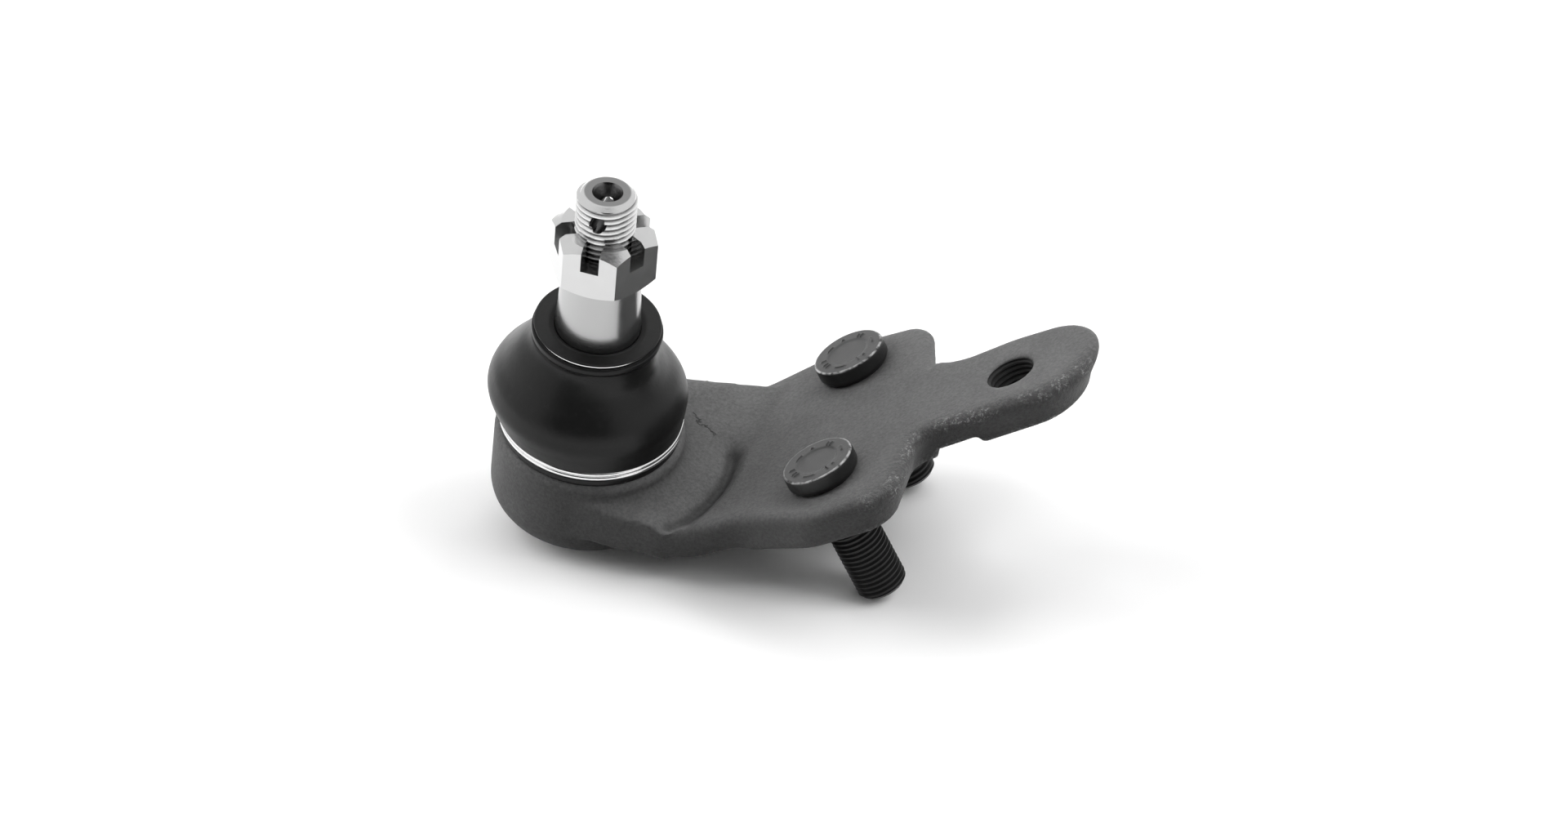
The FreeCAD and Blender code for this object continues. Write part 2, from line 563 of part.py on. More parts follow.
def make_nut():
    """Castle nut, with a slot in the middle of each flat."""
    body = new_body("castle_nut", NUT)
    reach = "nut_flats / 2 / cos(30)"
    pressed(body, "hexagon", [
        corner(f"{reach} * cos({turn})", f"{reach} * sin({turn})") for turn in range(0, 360, 60)
    ], "nut_height", shifted())
    outside = "nut_flats"
    turned(body, "upper_bevel", [
        corner("nut_top_radius", "nut_height"),
        corner(outside, f"nut_height - ({outside} - nut_top_radius) * tan(nut_top_chamfer)"),
        corner(outside, "nut_height"),
    ], "Groove")
    turned(body, "lower_bevel", [
        corner("nut_foot_radius", "0"),
        corner(outside, "0"),
        corner(outside, f"({outside} - nut_foot_radius) * tan(nut_foot_chamfer)"),
    ], "Groove")
    bored(body, "thread_bore", "stud_thread_radius + nut_thread_clearance",
          shifted(z="nut_height"))
    half = "nut_slot_width / 2"
    slot = pressed(body, "slot", [
        corner(f"0 - {outside}", f"0 - {half}"),
        corner(outside, f"0 - {half}"),
        corner(outside, half),
        corner(f"0 - {outside}", half),
    ], "nut_slot_depth", "placement(vector(0; 0; nut_height); rotation(30; 0; 0))", "Pocket")
    slots = body.newObject("PartDesign::PolarPattern", "castle_nut_slots")
    slots.Originals = [slot]
    upright = next(item for item in body.Origin.OriginFeatures if item.Role == "Z_Axis")
    slots.Axis = (upright, [""])
    slots.Angle = 360
    slots.Occurrences = 3
    body.Tip = slots
    doc.recompute()
    return body


def make_upper_seat():
    body = new_body("upper_ball_seat", SOCKET)
    turned(body, "ring", [
        corner(SEAT_RADIUS, "seat_gap / 2"),
        corner(SEAT_RADIUS, "upper_seat_height - seat_chamfer"),
        corner(f"{SEAT_RADIUS} - seat_chamfer", "upper_seat_height"),
        corner(f"sqrt({BALL_SEAT}^2 - upper_seat_height^2)", "upper_seat_height",
               arc=BALL_SEAT, bulge=-1),
        corner(f"sqrt({BALL_SEAT}^2 - (seat_gap / 2)^2)", "seat_gap / 2"),
    ])
    return body


def make_lower_seat():
    body = new_body("lower_ball_seat", SOCKET)
    turned(body, "cup", [
        corner("grease_hole_radius", "0 - lower_seat_depth"),
        corner(f"{SEAT_RADIUS} - seat_chamfer", "0 - lower_seat_depth"),
        corner(SEAT_RADIUS, "seat_chamfer - lower_seat_depth"),
        corner(SEAT_RADIUS, "0 - seat_gap / 2"),
        corner(f"sqrt({BALL_SEAT}^2 - (seat_gap / 2)^2)", "0 - seat_gap / 2",
               arc=BALL_SEAT, bulge=-1),
        corner("grease_hole_radius", f"0 - sqrt({BALL_SEAT}^2 - grease_hole_radius^2)"),
    ])
    return body


def make_spring():
    """Conical washer: its hole pushes the lower seat up and its rim stands on the cover."""
    body = new_body("preload_spring", SOCKET)
    hole_top = "(0 - lower_seat_depth - spring_clearance)"
    rim_foot = f"({FLANGE_TOP} + spring_clearance)"
    turned(body, "cone", [
        corner("spring_inner_radius", f"{hole_top} - spring_thickness"),
        corner("spring_outer_radius", rim_foot),
        corner("spring_outer_radius", f"{rim_foot} + spring_thickness"),
        corner("spring_inner_radius", hole_top),
    ])
    return body


def make_cover():
    """Pressed cover: a flange that the housing's edge is crimped over, and a dome."""
    body = new_body("bottom_cover", SOCKET)
    step = f"({DOME_EDGE} - cover_thickness)"
    turned(body, "pressing", [
        corner("0", f"{DOME_CENTRE} - dome_radius", arc="dome_radius"),
        corner(DOME_EDGE, f"{DOME_CENTRE} - sqrt(dome_radius^2 - {DOME_EDGE}^2)"),
        corner(DOME_EDGE, "0 - cover_depth"),
        corner(COVER_RADIUS, "0 - cover_depth"),
        corner(COVER_RADIUS, FLANGE_TOP),
        corner(step, FLANGE_TOP),
        corner(step, f"{DOME_CENTRE} - sqrt({DOME_HOLLOW}^2 - {step}^2)",
               arc=DOME_HOLLOW, bulge=-1),
        corner("0", f"{DOME_CENTRE} - {DOME_HOLLOW}"),
    ])
    return body


def make_boot():
    """Rubber boot: cuff on the housing, lopsided bellows, collar and flat lip round the taper."""
    body = new_body("dust_boot", SOCKET)
    rings = []
    for ring, numbers in BOOT_RINGS.items():
        height = f"boot_{ring}_height" if numbers[3] else CLAMP_TOP
        if ring == "collar":
            height = f"boot_lip_height * cos(stud_lean) - {LIP_DEPTH}"
        rings.append([f"boot_{ring}_radius", f"boot_{ring}_x", f"boot_{ring}_y", height])
    lofted(body, "bellows", "AdditiveLoft", rings)
    cuff_foot = "shoulder_height + boot_gap"
    turned(body, "cuff", [
        corner("0", cuff_foot),
        corner("boot_cuff_radius", cuff_foot),
        corner("boot_cuff_radius", CLAMP_FOOT),
        corner(RING_SEAT, CLAMP_FOOT),
        corner(RING_SEAT, f"{CLAMP_TOP} + boot_wall"),
        corner("0", f"{CLAMP_TOP} + boot_wall"),
    ])
    bead = "boot_lip_radius + boot_bead_step"
    lip_edge = "0 - boot_lip_edge"
    groove = f"{LIP_RING_RADIUS} - lip_ring_wire - wire_gap"
    turned(body, "lip", [
        corner("0", f"0 - {LIP_DEPTH} - boot_wall"),
        corner("boot_collar_radius - boot_wall / 2", f"0 - {LIP_DEPTH} - boot_wall"),
        corner("boot_collar_radius", f"0 - {LIP_DEPTH}"),
        corner(bead, f"0 - {LIP_DEPTH}"),
        corner(bead, f"0 - {LIP_GROOVE}"),
        corner(groove, f"0 - {LIP_GROOVE}"),
        corner(groove, lip_edge),
        corner("boot_lip_radius", lip_edge),
        corner("boot_lip_radius", "0"),
        corner("0", "0"),
    ], where=LIP_IN_SOCKET)
    hollow = [[f"{radius} - boot_wall", along, across, height]
              for radius, along, across, height in rings]
    hollow[0] = [f"({BOOT_BORE} + bead_step + 2 * boot_gap)", "0", "0", CLAMP_TOP]
    lofted(body, "hollow", "SubtractiveLoft", hollow)
    turned(body, "cuff_bore", [
        corner("0", cuff_foot),
        corner(BOOT_BORE, cuff_foot),
        corner(BOOT_BORE, CLAMP_TOP),
        corner("0", CLAMP_TOP),
    ], "Groove")
    taper = "taper_end_radius + taper_rate / 2 * (taper_end - boot_lip_height + 2 * boot_wall)"
    lip_bore = f"{taper} + boot_gap"
    collar_bore = "boot_collar_radius - boot_wall"
    turned(body, "lip_bore", [
        corner("0", f"0 - {LIP_DEPTH}"),
        corner(collar_bore, f"0 - {LIP_DEPTH}"),
        corner(collar_bore, "0 - boot_wall"),
        corner(lip_bore, "0 - boot_wall"),
        corner(lip_bore, "0"),
        corner("0", "0"),
    ], "Groove", LIP_IN_SOCKET)
    return body


def make_lip_ring():
    """Round wire ring in the groove under the lip of the boot."""
    ring = doc.addObject("Part::Torus", "boot_lip_ring")
    ring.Label = "boot_lip_ring"
    ring.setExpression("Radius1", cell(LIP_RING_RADIUS))
    ring.setExpression("Radius2", cell("lip_ring_wire"))
    below = shifted(z="0 - boot_lip_edge - lip_ring_wire - wire_gap")
    ring.setExpression("Placement", cell(f"{SOCKET} * {LIP_IN_SOCKET} * {below}"))
    doc.recompute()
    return ring


def make_clamp_ring():
    """Wire ring of two turns round the cuff: two level arcs and a short rise between them."""
    body = new_body("boot_clamp_ring", f"{SOCKET} * {shifted(z='clamp_ring_height')}")
    rise = "(2 * clamp_ring_wire + wire_gap)"
    wires = []
    for name, height, turn in (
        ("lower_turn", "0", "clamp_ring_start"),
        ("rise", "0", "clamp_ring_start - clamp_ring_step"),
        ("upper_turn", rise, "clamp_ring_start"),
    ):
        where = f"placement(vector(0; 0; {height}); rotation({turn}; 0; 0)) * {UPRIGHT}"
        wires.append(new_sketch(body, name + "_wire", where))
        draw_circle(wires[-1], "clamp_ring_wire", "clamp_ring_radius")
    lower, middle, upper = wires
    level = {"Angle": "360 - clamp_ring_step"}
    add_feature(body, "Revolution", "lower_turn", lower, level, ReferenceAxis=(lower, ["V_Axis"]))
    add_feature(body, "AdditiveHelix", "rise", middle,
                {"Height": rise, "Turns": "clamp_ring_step / 360"},
                ReferenceAxis=(middle, ["V_Axis"]), Mode="height-turns-angle")
    add_feature(body, "Revolution", "upper_turn", upper, level, ReferenceAxis=(upper, ["V_Axis"]))
    return body


def check(piece):
    """Stops the build where a piece isn't one sound solid."""
    parts = piece.Group if hasattr(piece, "Group") else [piece]
    for item in [piece, *parts]:
        if {"Invalid", "Error"} & set(item.State):
            raise RuntimeError(f"{item.Name}: {item.State}")
    shape = piece.Shape
    if shape.isNull() or not shape.isValid() or len(shape.Solids) != 1:
        raise RuntimeError(f"{piece.Label}: not one sound solid")


pieces = [
    make_housing(),
    make_bolt("far_arm_bolt", FAR_BOLT),
    make_bolt("near_arm_bolt", NEAR_BOLT),
    make_stud(),
    make_nut(),
    make_upper_seat(),
    make_lower_seat(),
    make_spring(),
    make_cover(),
    make_boot(),
    make_lip_ring(),
    make_clamp_ring(),
]
doc.recompute()
for piece in pieces:
    check(piece)
os.makedirs("parts", exist_ok=True)
for piece in pieces:
    piece.Shape.exportStep(f"parts/{piece.Label}.step")
    print(piece.Label, round(piece.Shape.Volume))
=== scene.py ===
"""Looks of a suspension ball joint: forging, black bolts, ground stud, plated nut, rubber boot.

Shapes are worked out in millimetres, in the frame of the socket, the stud or the arm plate.
Their meshes are in metres in the frame of the solids.
"""

import math

import bmesh
import bpy
import numpy as np
from bpy.props import FloatProperty, FloatVectorProperty, IntProperty, PointerProperty
from mathutils import Matrix, Vector


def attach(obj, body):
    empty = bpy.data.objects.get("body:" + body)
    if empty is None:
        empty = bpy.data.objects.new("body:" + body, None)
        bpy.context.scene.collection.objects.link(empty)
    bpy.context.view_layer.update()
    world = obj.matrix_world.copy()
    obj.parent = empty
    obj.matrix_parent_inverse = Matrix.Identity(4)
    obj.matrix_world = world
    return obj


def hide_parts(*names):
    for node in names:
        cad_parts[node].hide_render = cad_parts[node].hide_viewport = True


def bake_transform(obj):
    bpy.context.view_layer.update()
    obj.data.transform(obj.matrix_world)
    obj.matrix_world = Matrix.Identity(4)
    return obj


bl_info = {
    "name": "Suspension ball joint",
    "version": (1, 0, 0),
    "blender": (4, 5, 0),
    "location": "3D View > Sidebar > Ball joint",
    "description": "Dresses the solids of a ball joint as forged, ground, plated and rubber",
    "category": "Mesh",
}

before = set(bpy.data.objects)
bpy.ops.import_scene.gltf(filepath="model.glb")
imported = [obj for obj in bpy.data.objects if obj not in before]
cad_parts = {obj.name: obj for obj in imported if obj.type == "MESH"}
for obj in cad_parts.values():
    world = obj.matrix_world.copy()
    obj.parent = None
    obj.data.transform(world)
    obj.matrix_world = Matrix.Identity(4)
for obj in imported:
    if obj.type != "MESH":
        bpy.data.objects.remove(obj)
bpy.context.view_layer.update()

MM = 0.001
FULL_TURN = 2 * math.pi
COLUMNS = 144  # of a turned surface


# Frames of the socket and the stud about the ball, and of the arm plate about its bolt row


def rotation(degrees, axis):
    """Rotation matrix about an axis."""
    return np.array(Matrix.Rotation(math.radians(degrees), 3, axis))


BALL = np.array((-47.04, -2.55, 23.4026))
SOCKET = rotation(6.5, "Y") @ rotation(8.57, "X")
LEAN_WAY = math.radians(115)
LEAN_AXIS = Vector((-math.sin(LEAN_WAY), math.cos(LEAN_WAY), 0))
STUD = SOCKET @ rotation(2.85, LEAN_AXIS)
ARM = rotation(-25.45, "Y")
ARM_ORIGIN = BALL + (58.1, 3.2, 7.6)

# Forging. The far spread is in mm at places along the arm. The scar's ends are in the socket's
# frame. The roll-off is the share of the groove's depth at distances from the socket axis.
PLATE_THICKNESS = 9.6
HOLE_REACH = 43.3
GROOVE_DEPTH = 2.5
ROLL_OFF = (27.5, 29.5, 31.5, 33.2, 36.5), (0, 0.12, 0.45, 1, 0)
FAR_SPREAD = (
    (-60, -45, -5, 12, 17, 21, 22, 23.5, 26, 29, 32, 55),
    (0, 1, 1, 0.6, 0, 0.3, 2.7, 2.9, 1.8, 1.2, 0.7, 0.3),
)
TIP_UNDERCUT = 1.2
SCAR = (21.1, 14.1, -0.1), (28.4, 8.1, -0.1)

# Bolts: places along the bolt row, and strokes on the heads as the middle and half of their
# angle, and their inner and outer radius.
BOLT_SIDES = {"near_arm_bolt": -21.8, "far_arm_bolt": 23.95}
HEAD_STROKES = (
    (20, 11, 6.1, 6.45),
    (62, 1.8, 5.3, 6.8),
    (72, 1.8, 5.3, 6.8),
    (110, 3.2, 5.8, 6.3),
    (150, 12, 5.5, 5.85),
    (196, 1.8, 5.3, 6.8),
    (215, 1.8, 5.3, 6.8),
    (224, 1.8, 5.3, 6.8),
    (262, 13, 6.1, 6.45),
    (305, 1.8, 5.3, 6.8),
    (322, 3.2, 5.8, 6.3),
)

# Stud: heights over the ball, and the way of the split pin hole
TAPER_TOP = 50
NUT_TOP = 63
PIN_HEIGHT = 67.6
STUD_TOP = 72.5
PIN_TURN = -97
PIN_HOLE_RADIUS = 2
THREAD_CREST = 7

# Boot: its lip, and rings of its bellows as radius, height, and the place of the middle
LIP_CENTRE = (-0.70, 1.51)
LIP_HEIGHT = 34.31
BOOT_WALL = 1.7
BELLOWS = (
    (21.4, 8.2, -0.3, 0.2),
    (22.55, 11.5, -1.1, 0.8),
    (23.1, 15, -1.65, 1.06),
    (21.7, 18.5, -2.1, 0.9),
    (18.85, 22, -2.6, 0.7),
    (16.35, 25.5, -2.6, 0.7),
    (14.95, 28.6, -1.6, 1.15),
    (14.5, 30.6, -0.9, 1.45),
)

# Stage, in metres. Lamps stand round the joint like the walls of a light tent: their angle
# round z, angle above the floor, and power in watts. The lens is in mm.
LAMP_DISTANCE = 1.5
LAMP_SIZE = 0.9
LAMPS = (
    (0, 50, 12.2),
    (45, 50, 4),
    (90, 50, 5.5),
    (135, 50, 4),
    (180, 50, 8.5),
    (270, 50, 1),
    (315, 50, 3),
    (180, 20, 13),
    (60, 20, 4),
)
FLOOR_SIDE = 12
CARD_CENTRE, CARD_SIZE = (0.25, -2.1, 1.4), (3.4, 2.4)
CAMERA_PLACE = (0.224356, -1.388840, 0.967676)
CAMERA_WAY = (-0.1339, 0.8219, -0.5537)
CAMERA_LENS = 168.75


def in_frame(points, turn, origin):
    """Points of a piece's own frame, moved to the frame of the solids."""
    return points @ turn.T + origin


def out_of_frame(points, turn, origin):
    """Points of the solids' frame, as the piece's own frame has them."""
    return (points - origin) @ turn


# Meshes


def link(name, mesh):
    """A new object in the scene for a mesh."""
    piece = bpy.data.objects.new(name, mesh)
    bpy.context.scene.collection.objects.link(piece)
    return piece


def weld(mesh):
    """Merges equal points and turns the faces outwards."""
    shell = bmesh.new()
    shell.from_mesh(mesh)
    bmesh.ops.remove_doubles(shell, verts=shell.verts, dist=2e-6)
    bmesh.ops.dissolve_degenerate(shell, edges=shell.edges, dist=1e-6)
    if shell.calc_volume(signed=True) < 0:
        bmesh.ops.reverse_faces(shell, faces=shell.faces)
    shell.to_mesh(mesh)
    shell.free()


def grid_mesh(name, grids, turn, origin):
    """One closed mesh from grids of points, rows by columns by xyz, that meet at equal points."""
    points, faces, start = [], [], 0
    for grid in grids:
        index = start + np.arange(grid[..., 0].size).reshape(grid.shape[:2])
        quads = np.stack([index[:-1, :-1], index[:-1, 1:], index[1:, 1:], index[1:, :-1]], -1)
        points.append(grid.reshape(-1, 3))
        faces.append(quads.reshape(-1, 4))
        start += index.size
    mesh = bpy.data.meshes.new(name)
    placed = in_frame(np.concatenate(points), turn, origin) * MM
    mesh.from_pydata(placed.tolist(), [], np.concatenate(faces).tolist())
    weld(mesh)
    return mesh


def mesh_points(mesh, what="co"):
    """Points of a mesh in mm, or its normals."""
    values = np.empty(len(mesh.vertices) * 3)
    mesh.vertices.foreach_get(what, values)
    return values.reshape(-1, 3) / (MM if what == "co" else 1)


def set_marks(mesh, **marks):
    """Keeps values for each point, which materials read by name."""
    for name, values in marks.items():
        mark = mesh.attributes.new(name, "FLOAT", "POINT")
        mark.data.foreach_set("value", np.asarray(values, np.float32))


def smooth_shading(mesh, degrees):
    """Smooth faces with edges sharper than the angle kept sharp."""
    mesh.shade_smooth()
    mesh.set_sharp_from_angle(angle=math.radians(degrees))


def apply_modifiers(piece):
    """Replaces the mesh by the one that the modifiers give."""
    graph = bpy.context.evaluated_depsgraph_get()
    mesh = bpy.data.meshes.new_from_object(piece.evaluated_get(graph))
    piece.modifiers.clear()
    piece.data = mesh
    return mesh


def cut(piece, cutter_mesh):
    """Takes a closed mesh away from a piece."""
    cutter = link("cutter", cutter_mesh)
    boolean = piece.modifiers.new("cut", "BOOLEAN")
    boolean.solver = "EXACT"
    boolean.object = cutter
    apply_modifiers(piece)
    bpy.data.objects.remove(cutter)


def outline(corners, step):
    """A path through corners, whose last number is the reach of the round there.

    A round is the quadratic curve (1-t)^2 a + 2t(1-t) c + t^2 b about corner c, between the
    points a and b that lie that far before and after it. The path is then divided to the step.
    """
    corners = np.array(corners, float)
    points, reaches = corners[:, :-1], corners[:, -1]
    share = np.linspace(0, 1, 7)[:, None]
    path = [points[:1]]
    for before, here, after, reach in zip(points, points[1:], points[2:], reaches[1:]):
        a = here + (before - here) * reach / np.linalg.norm(before - here)
        b = here + (after - here) * reach / np.linalg.norm(after - here)
        curve = (1 - share) ** 2 * a + 2 * share * (1 - share) * here + share**2 * b
        path.append(curve if reach else here[None])
    path = np.concatenate(path + [points[-1:]])
    run = np.append(0, np.cumsum(np.linalg.norm(np.diff(path, axis=0), axis=1)))
    stops = np.unique(np.round(np.append(run, np.arange(0, run[-1], step)), 3))
    return np.stack([np.interp(stops, run, values) for values in path.T], -1)


def smooth_curve(knots, parts):
    """Catmull-Rom curve through the knots, each stretch in equal parts."""
    padded = np.concatenate([2 * knots[:1] - knots[1:2], knots, 2 * knots[-1:] - knots[-2:-1]])
    t = np.linspace(0, 1, parts, endpoint=False)[None, :, None]
    a, b, c, d = (padded[i : i + len(knots) - 1, None] for i in range(4))
    curve = (
        b
        + t * (c - a) / 2
        + t**2 * (2 * a - 5 * b + 4 * c - d) / 2
        + t**3 * (3 * b - 3 * c + d - a) / 2
    )
    return np.concatenate([curve.reshape(-1, knots.shape[1]), knots[-1:]])


def turned(profile):
    """A profile of radius and height, and of the offset of its centre if it has one, about z.

    The surface is x = offset x + radius cos(angle), y = offset y + radius sin(angle), z = height.
    """
    angle = np.linspace(0, FULL_TURN, COLUMNS + 1)
    radius, height = profile[:, :1], profile[:, 1:2]
    offset = profile[:, 2:4] if profile.shape[1] > 2 else np.zeros((len(profile), 2))
    x = offset[:, :1] + radius * np.cos(angle)
    y = offset[:, 1:] + radius * np.sin(angle)
    return np.stack([x, y, height + 0 * angle], -1)


def helix(start, end, pitch, crest, depth, most, fade, least=((0,), (0,))):
    """A thread about z, between two heights. Its rows follow z = s + pitch * angle / turn.

    The radius is the crest less the depth times a flat-topped wave of z / pitch - angle / turn.
    It is held between two radii that go with the height, and the depth fades with the height.
    """
    turns = np.arange(math.floor(start / pitch) - 1, math.ceil(end / pitch) + 1)
    steps = np.array((0, 0.06, 0.14, 0.25, 0.36, 0.5, 0.64, 0.75, 0.86, 0.94))
    rows = (turns[:, None] + steps).reshape(-1, 1) * pitch
    angle = np.linspace(0, FULL_TURN, COLUMNS + 1)
    z = np.clip(rows + pitch * angle / FULL_TURN, start, end)
    phase = z / pitch - angle / FULL_TURN
    wave = np.clip((2 * np.abs(phase - np.round(phase)) - 0.12) / 0.64, 0, 1)
    radius = crest - depth * np.interp(z, *fade) * wave
    radius = np.clip(radius, np.interp(z, *least), np.interp(z, *most))
    return np.stack([radius * np.cos(angle), radius * np.sin(angle), z], -1)


# Materials


class Value:
    """A socket of a material. Arithmetic on it adds Math nodes."""

    def __init__(self, tree, socket):
        self.tree = tree
        self.socket = socket

    def put(self, slot):
        self.tree.links.new(self.socket, slot)

    def math(self, operation, other, turned_round=False):
        node = self.tree.nodes.new("ShaderNodeMath")
        node.operation = operation
        pair = (other, self) if turned_round else (self, other)
        for slot, item in zip(node.inputs, pair):
            plug(slot, item)
        return Value(self.tree, node.outputs[0])

    def __add__(self, other):
        return self.math("ADD", other)

    def __sub__(self, other):
        return self.math("SUBTRACT", other)

    def __rsub__(self, other):
        return self.math("SUBTRACT", other, True)

    def __mul__(self, other):
        return self.math("MULTIPLY", other)

    def __truediv__(self, other):
        return self.math("DIVIDE", other)

    __radd__ = __add__
    __rmul__ = __mul__


def plug(slot, item):
    """Links a value to a socket, or sets the socket to a number, vector or colour."""
    if isinstance(item, Value):
        item.put(slot)
    else:
        slot.default_value = item


class Finish:
    """A material and the calls that add its nodes."""

    def __init__(self, name, **sockets):
        self.material = bpy.data.materials.new(name)
        self.material.use_nodes = True
        self.tree = self.material.node_tree
        self.shader = self.tree.nodes["Principled BSDF"]
        self.set(**sockets)
        self.place = self.add("TexCoord", output="Object")

    def set(self, **sockets):
        for name, item in sockets.items():
            plug(self.shader.inputs[name.replace("_", " ")], item)

    def add(self, kind, settings=None, output=0, **sockets):
        """A node of a kind, with its settings set first and then its sockets."""
        node = self.tree.nodes.new("ShaderNode" + kind)
        for name, item in (settings or {}).items():
            setattr(node, name, item)
        for name, item in sockets.items():
            plug(node.inputs[name.replace("_", " ")], item)
        return Value(self.tree, node.outputs[output])

    def noise(self, size, detail=2, roughness=0.5, place=None, distortion=0):
        """Noise whose features are about this size in millimetres."""
        return self.add(
            "TexNoise",
            Vector=place or self.place,
            Scale=1 / (size * MM),
            Detail=detail,
            Roughness=roughness,
            Distortion=distortion,
        )

    def cells(self, size, place=None):
        """Distance from the nearest of scattered points, in cells of this size in millimetres."""
        return self.add("TexVoronoi", Vector=place or self.place, Scale=1 / (size * MM))

    def scar(self, start, end, up):
        """1 along a ragged hairline between two places on a surface whose normal is up."""
        way = Vector(end - start)
        side = way.cross(Vector(up)).normalized()
        from_start = self.add("VectorMath", {"operation": "SUBTRACT"}, Vector=self.place)
        from_start.socket.node.inputs[1].default_value = start
        along = self.dot(from_start, way) / way.length_squared
        across = self.dot(from_start, side) / MM + (self.noise(2.2, 4, 0.7) - 0.5) * 6
        inside = self.step(along, 0, 0.06) * self.step(along, 1, 0.94)
        gaps = self.step(self.noise(3), 0.3, 0.42)
        return inside * self.step(across * across, 0.12, 0.01) * gaps

    def dot(self, place, way):
        """How far a place lies along a direction."""
        result = self.add("VectorMath", {"operation": "DOT_PRODUCT"}, "Value", Vector=place)
        result.socket.node.inputs[1].default_value = way
        return result

    def mark(self, name):
        """A value that the mesh holds for each point."""
        return self.add("Attribute", {"attribute_name": name}, "Fac")

    def step(self, value, low, high):
        """0 below low, 1 above high, a smooth rise between them; falls if low is the larger."""
        settings = {"interpolation_type": "SMOOTHSTEP"}
        if low < high:
            return self.add("MapRange", settings, Value=value, From_Min=low, From_Max=high)
        return 1 - self.step(value, high, low)

    def mix(self, mask, low, high):
        """Colour that goes from low to high with the mask."""
        node = self.tree.nodes.new("ShaderNodeMix")
        node.data_type = "RGBA"
        plug(node.inputs[0], mask)
        plug(node.inputs[6], grey(low))
        plug(node.inputs[7], grey(high))
        return Value(self.tree, node.outputs[2])

    def bump(self, *layers):
        """Bumps from pairs of a height and a depth in millimetres, one over the other."""
        normal = None
        for height, depth in layers:
            sockets = {"Height": height, "Distance": depth * MM, "Strength": 1}
            if normal:
                sockets["Normal"] = normal
            normal = self.add("Bump", **sockets)
        self.set(Normal=normal)


def grey(item):
    """A neutral colour for a number; colours and values stay as they are."""
    return (item, item, item, 1) if isinstance(item, (int, float)) else item


def dress(piece, finish):
    """Gives a piece one material."""
    piece.data.materials.clear()
    piece.data.materials.append(finish.material)


def dress_node(name, finish):
    """Gives a solid of the frame a better material."""
    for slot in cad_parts[name].material_slots:
        slot.material = finish.material


def forged_finish(looks):
    """Phosphated forging: grain, mottles and edges worn to small bright specks, with painted
    shade in creases and on the tapped hole's wall, and a faint painted highlight along edges.
    """
    f = Finish("forged_steel", Specular_IOR_Level=0.3)
    mottle = f.noise(14, 4, 0.6)
    grain = f.noise(0.8, 3, 0.7)
    fine = f.noise(0.22, 2, 0.6)
    scar = f.scar(*in_frame(np.array(SCAR), SOCKET, BALL) * MM, SOCKET[:, 2])
    edge, rough = f.mark("edge"), f.mark("rough")
    specks = f.step(fine * 0.5 + f.noise(0.8, 2) * 0.5, 0.53, 0.6)
    patches = f.step(f.noise(7, 2), 0.42, 0.6)
    worn = f.step(edge + rough * 0.2, 0.3, 0.85) * specks * patches
    dark = looks.forging_grey * (0.075 + 0.55 * mottle + 1.3 * grain)
    # Painted highlight: convex edges are painted a little lighter.
    dark = dark + f.step(edge, 0.1, 0.8) * 0.012
    # Painted shade: hollows, creases and the tapped hole's wall are painted darker.
    dark = dark * (1 - 0.6 * f.mark("crease")) * (1 - 0.75 * f.mark("hole"))
    dark = dark * (1 - 0.6 * scar)
    f.set(
        Base_Color=f.mix(worn, dark, 0.36),
        Metallic=0.7 * worn,
        Roughness=0.6 + 0.16 * grain - 0.25 * worn - 0.08 * mottle,
    )
    ragged = rough * f.noise(1.1, 4, 0.7)
    f.bump((mottle, 0.05), (grain, 0.1), (fine, 0.03), (ragged, 1.2), (1 - scar, 0.2))
    return f


def bolt_finish(looks):
    """Black oiled steel, rubbed bright on the rim of the head, with painted shade on its strokes
    and on its side, shank and thread, which are painted darker than the head's face.
    """
    f = Finish("black_bolt_steel", Metallic=0.7)
    cloud = f.noise(5, 4, 0.6)
    grain = f.noise(0.3, 2, 0.6)
    rim = f.mark("rim") * f.step(f.noise(1.6, 3), 0.3, 0.62)
    # Painted shade: the raised strokes are painted darker.
    shade = looks.bolt_grey * (0.7 + 0.6 * cloud) * (1 - 0.7 * f.mark("stroke"))
    f.set(
        # Painted shade: all but the head's face is painted darker than that face.
        Base_Color=f.mix(rim, shade * (0.42 + 0.58 * f.mark("head")), 0.5),
        Roughness=0.3 + 0.14 * cloud + 0.1 * grain - 0.06 * rim,
    )
    f.bump((grain, 0.025), (cloud, 0.03))
    return f


